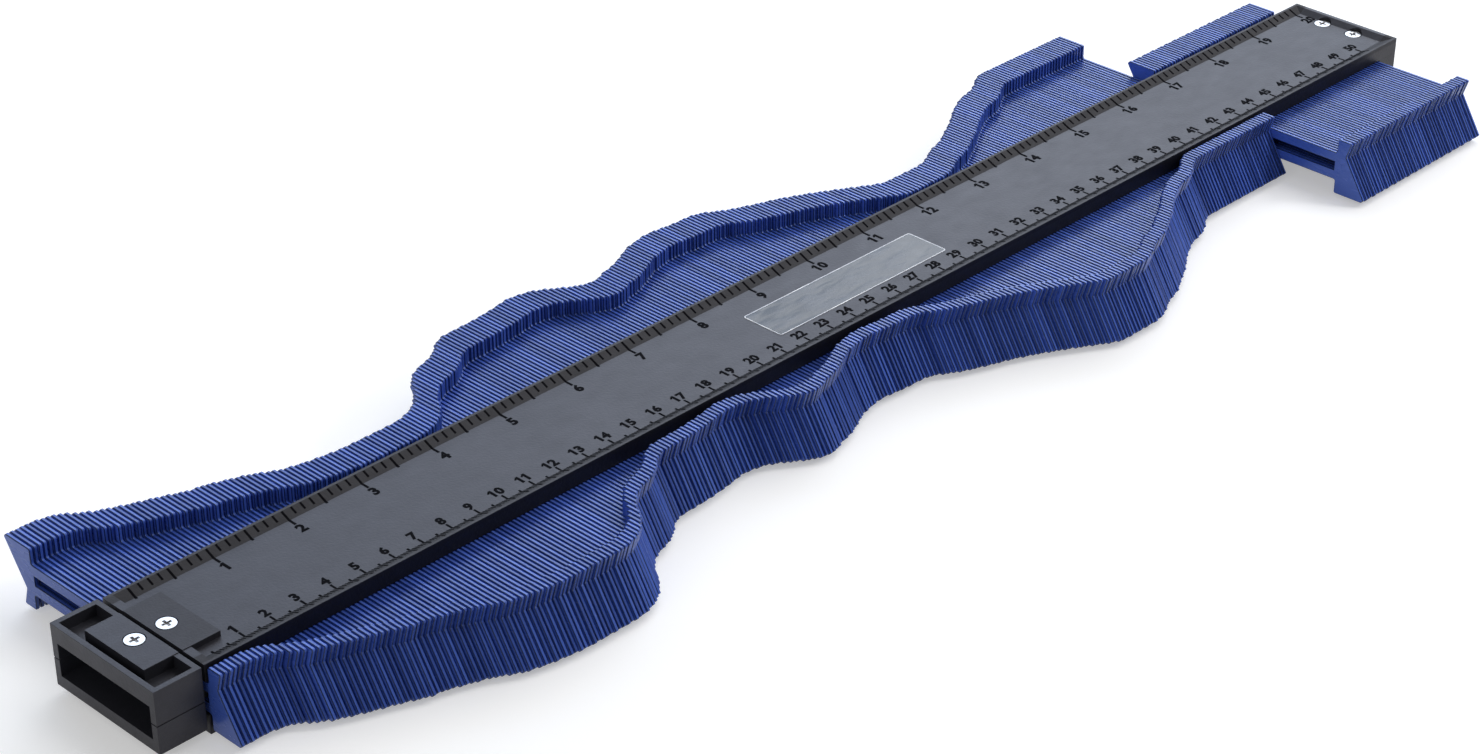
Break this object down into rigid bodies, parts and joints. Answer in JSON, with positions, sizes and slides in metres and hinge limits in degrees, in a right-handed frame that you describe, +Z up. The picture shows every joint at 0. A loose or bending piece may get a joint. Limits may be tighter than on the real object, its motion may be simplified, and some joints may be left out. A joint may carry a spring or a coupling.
{
  "type": "contour gauge",
  "caption": "Long contour gauge: thin slotted plastic blades slide across between a scale ruler and a lower rail and keep the outline pressed into them; open coupling block at one end.",
  "frame": {"origin": "centre of the gauge's length and width on the lower rail's underside", "axes": "+X along the ruler from the coupling block, +Y across towards the inch scale, +Z up"},
  "size_m": [0.5372, 0.1309, 0.0219],
  "materials": {
    "black_plastic": "fine-grained black ABS",
    "blue_plastic": "satin blue ABS",
    "grey_plastic": "plain dark ABS",
    "steel": "zinc-plated"
  },
  "bodies": {
    "housing": {"top_rail": "black_plastic", "bottom_rail": "black_plastic", "end_wall_block": "black_plastic", "end_block_upper": "black_plastic", "end_block_lower": "black_plastic", "guide_spine": "grey_plastic", "splice_plate": "steel", "splice_screws": "steel", "end_wall_screws": "steel"},
    "blades_01": {"blades_01": "blue_plastic"},
    "blades_02": {"blades_02": "blue_plastic"},
    "blades_03": {"blades_03": "blue_plastic"},
    "blades_04": {"blades_04": "blue_plastic"},
    "blades_05": {"blades_05": "blue_plastic"},
    "blades_06": {"blades_06": "blue_plastic"},
    "blades_07": {"blades_07": "blue_plastic"},
    "blades_08": {"blades_08": "blue_plastic"},
    "blades_09": {"blades_09": "blue_plastic"},
    "blades_10": {"blades_10": "blue_plastic"},
    "blades_11": {"blades_11": "blue_plastic"},
    "blades_12": {"blades_12": "blue_plastic"},
    "blades_13": {"blades_13": "blue_plastic"},
    "blades_14": {"blades_14": "blue_plastic"},
    "blades_15": {"blades_15": "blue_plastic"},
    "blades_16": {"blades_16": "blue_plastic"},
    "blades_17": {"blades_17": "blue_plastic"},
    "blades_18": {"blades_18": "blue_plastic"},
    "blades_19": {"blades_19": "blue_plastic"},
    "blades_20": {"blades_20": "blue_plastic"},
    "blades_21": {"blades_21": "blue_plastic"},
    "blades_22": {"blades_22": "blue_plastic"},
    "blades_23": {"blades_23": "blue_plastic"},
    "blades_24": {"blades_24": "blue_plastic"},
    "blades_25": {"blades_25": "blue_plastic"},
    "blades_26": {"blades_26": "blue_plastic"},
    "blades_27": {"blades_27": "blue_plastic"},
    "blades_28": {"blades_28": "blue_plastic"},
    "blades_29": {"blades_29": "blue_plastic"},
    "blades_30": {"blades_30": "blue_plastic"},
    "blades_31": {"blades_31": "blue_plastic"},
    "blades_32": {"blades_32": "blue_plastic"},
    "blades_33": {"blades_33": "blue_plastic"},
    "blades_34": {"blades_34": "blue_plastic"},
    "blades_35": {"blades_35": "blue_plastic"},
    "blades_36": {"blades_36": "blue_plastic"},
    "blades_37": {"blades_37": "blue_plastic"},
    "blades_38": {"blades_38": "blue_plastic"},
    "blades_39": {"blades_39": "blue_plastic"},
    "blades_40": {"blades_40": "blue_plastic"},
    "blades_41": {"blades_41": "blue_plastic"},
    "blades_42": {"blades_42": "blue_plastic"},
    "blades_43": {"blades_43": "blue_plastic"},
    "blades_44": {"blades_44": "blue_plastic"},
    "blades_45": {"blades_45": "blue_plastic"},
    "blades_46": {"blades_46": "blue_plastic"},
    "blades_47": {"blades_47": "blue_plastic"},
    "blades_48": {"blades_48": "blue_plastic"}
  },
  "joints": [
    {"name": "blades_01_slide", "type": "slide", "parent": "housing", "child": "blades_01", "axis": [0, 1, 0], "range_m": [-0.03255, 0]},
    {"name": "blades_02_slide", "type": "slide", "parent": "housing", "child": "blades_02", "axis": [0, 1, 0], "range_m": [-0.02695, 0.00074]},
    {"name": "blades_03_slide", "type": "slide", "parent": "housing", "child": "blades_03", "axis": [0, 1, 0], "range_m": [-0.02131, 0.00654]},
    {"name": "blades_04_slide", "type": "slide", "parent": "housing", "child": "blades_04", "axis": [0, 1, 0], "range_m": [-0.01741, 0.01187]},
    {"name": "blades_05_slide", "type": "slide", "parent": "housing", "child": "blades_05", "axis": [0, 1, 0], "range_m": [-0.01375, 0.01631]},
    {"name": "blades_06_slide", "type": "slide", "parent": "housing", "child": "blades_06", "axis": [0, 1, 0], "range_m": [-0.00966, 0.01926]},
    {"name": "blades_07_slide", "type": "slide", "parent": "housing", "child": "blades_07", "axis": [0, 1, 0], "range_m": [-0.00477, 0.02378]},
    {"name": "blades_08_slide", "type": "slide", "parent": "housing", "child": "blades_08", "axis": [0, 1, 0], "range_m": [-0.00234, 0.02866]},
    {"name": "blades_09_slide", "type": "slide", "parent": "housing", "child": "blades_09", "axis": [0, 1, 0], "range_m": [-0.00157, 0.03031]},
    {"name": "blades_10_slide", "type": "slide", "parent": "housing", "child": "blades_10", "axis": [0, 1, 0], "range_m": [-0.00155, 0.03075]},
    {"name": "blades_11_slide", "type": "slide", "parent": "housing", "child": "blades_11", "axis": [0, 1, 0], "range_m": [-0.00163, 0.02863]},
    {"name": "blades_12_slide", "type": "slide", "parent": "housing", "child": "blades_12", "axis": [0, 1, 0], "range_m": [-0.00511, 0.01702]},
    {"name": "blades_13_slide", "type": "slide", "parent": "housing", "child": "blades_13", "axis": [0, 1, 0], "range_m": [-0.01712, 0.01092]},
    {"name": "blades_14_slide", "type": "slide", "parent": "housing", "child": "blades_14", "axis": [0, 1, 0], "range_m": [-0.0221, 0.00449]},
    {"name": "blades_15_slide", "type": "slide", "parent": "housing", "child": "blades_15", "axis": [0, 1, 0], "range_m": [-0.02892, 0.00315]},
    {"name": "blades_16_slide", "type": "slide", "parent": "housing", "child": "blades_16", "axis": [0, 1, 0], "range_m": [-0.02943, 0.00208]},
    {"name": "blades_17_slide", "type": "slide", "parent": "housing", "child": "blades_17", "axis": [0, 1, 0], "range_m": [-0.03054, 0.0007]},
    {"name": "blades_18_slide", "type": "slide", "parent": "housing", "child": "blades_18", "axis": [0, 1, 0], "range_m": [-0.02727, 0.00116]},
    {"name": "blades_19_slide", "type": "slide", "parent": "housing", "child": "blades_19", "axis": [0, 1, 0], "range_m": [-0.02164, 0.00647]},
    {"name": "blades_20_slide", "type": "slide", "parent": "housing", "child": "blades_20", "axis": [0, 1, 0], "range_m": [-0.02131, 0.009]},
    {"name": "blades_21_slide", "type": "slide", "parent": "housing", "child": "blades_21", "axis": [0, 1, 0], "range_m": [-0.02438, 0.00451]},
    {"name": "blades_22_slide", "type": "slide", "parent": "housing", "child": "blades_22", "axis": [0, 1, 0], "range_m": [-0.02895, 0.00123]},
    {"name": "blades_23_slide", "type": "slide", "parent": "housing", "child": "blades_23", "axis": [0, 1, 0], "range_m": [-0.03042, 0.00122]},
    {"name": "blades_24_slide", "type": "slide", "parent": "housing", "child": "blades_24", "axis": [0, 1, 0], "range_m": [-0.02969, 0.00206]},
    {"name": "blades_25_slide", "type": "slide", "parent": "housing", "child": "blades_25", "axis": [0, 1, 0], "range_m": [-0.02435, 0.0034]},
    {"name": "blades_26_slide", "type": "slide", "parent": "housing", "child": "blades_26", "axis": [0, 1, 0], "range_m": [-0.01988, 0.00927]},
    {"name": "blades_27_slide", "type": "slide", "parent": "housing", "child": "blades_27", "axis": [0, 1, 0], "range_m": [-0.01548, 0.01301]},
    {"name": "blades_28_slide", "type": "slide", "parent": "housing", "child": "blades_28", "axis": [0, 1, 0], "range_m": [-0.01002, 0.01796]},
    {"name": "blades_29_slide", "type": "slide", "parent": "housing", "child": "blades_29", "axis": [0, 1, 0], "range_m": [-0.00339, 0.02385]},
    {"name": "blades_30_slide", "type": "slide", "parent": "housing", "child": "blades_30", "axis": [0, 1, 0], "range_m": [-0.00155, 0.02964]},
    {"name": "blades_31_slide", "type": "slide", "parent": "housing", "child": "blades_31", "axis": [0, 1, 0], "range_m": [-0.00156, 0.03051]},
    {"name": "blades_32_slide", "type": "slide", "parent": "housing", "child": "blades_32", "axis": [0, 1, 0], "range_m": [-0.00216, 0.02634]},
    {"name": "blades_33_slide", "type": "slide", "parent": "housing", "child": "blades_33", "axis": [0, 1, 0], "range_m": [-0.00719, 0.02207]},
    {"name": "blades_34_slide", "type": "slide", "parent": "housing", "child": "blades_34", "axis": [0, 1, 0], "range_m": [-0.0114, 0.0159]},
    {"name": "blades_35_slide", "type": "slide", "parent": "housing", "child": "blades_35", "axis": [0, 1, 0], "range_m": [-0.01754, 0.00978]},
    {"name": "blades_36_slide", "type": "slide", "parent": "housing", "child": "blades_36", "axis": [0, 1, 0], "range_m": [-0.02406, 0.00613]},
    {"name": "blades_37_slide", "type": "slide", "parent": "housing", "child": "blades_37", "axis": [0, 1, 0], "range_m": [-0.02705, 0.00034]},
    {"name": "blades_38_slide", "type": "slide", "parent": "housing", "child": "blades_38", "axis": [0, 1, 0], "range_m": [-0.03255, 0]},
    {"name": "blades_39_slide", "type": "slide", "parent": "housing", "child": "blades_39", "axis": [0, 1, 0], "range_m": [-0.03255, 0]},
    {"name": "blades_40_slide", "type": "slide", "parent": "housing", "child": "blades_40", "axis": [0, 1, 0], "range_m": [-0.03255, 0]},
    {"name": "blades_41_slide", "type": "slide", "parent": "housing", "child": "blades_41", "axis": [0, 1, 0], "range_m": [-0.03256, 0]},
    {"name": "blades_42_slide", "type": "slide", "parent": "housing", "child": "blades_42", "axis": [0, 1, 0], "range_m": [-0.00175, 0.03055]},
    {"name": "blades_43_slide", "type": "slide", "parent": "housing", "child": "blades_43", "axis": [0, 1, 0], "range_m": [-0.00175, 0.03055]},
    {"name": "blades_44_slide", "type": "slide", "parent": "housing", "child": "blades_44", "axis": [0, 1, 0], "range_m": [-0.00176, 0.03056]},
    {"name": "blades_45_slide", "type": "slide", "parent": "housing", "child": "blades_45", "axis": [0, 1, 0], "range_m": [-0.00175, 0.03055]},
    {"name": "blades_46_slide", "type": "slide", "parent": "housing", "child": "blades_46", "axis": [0, 1, 0], "range_m": [-0.00175, 0.03055]},
    {"name": "blades_47_slide", "type": "slide", "parent": "housing", "child": "blades_47", "axis": [0, 1, 0], "range_m": [-0.00176, 0.03055]},
    {"name": "blades_48_slide", "type": "slide", "parent": "housing", "child": "blades_48", "axis": [0, 1, 0], "range_m": [-0.00185, 0.03055]}
  ]
}
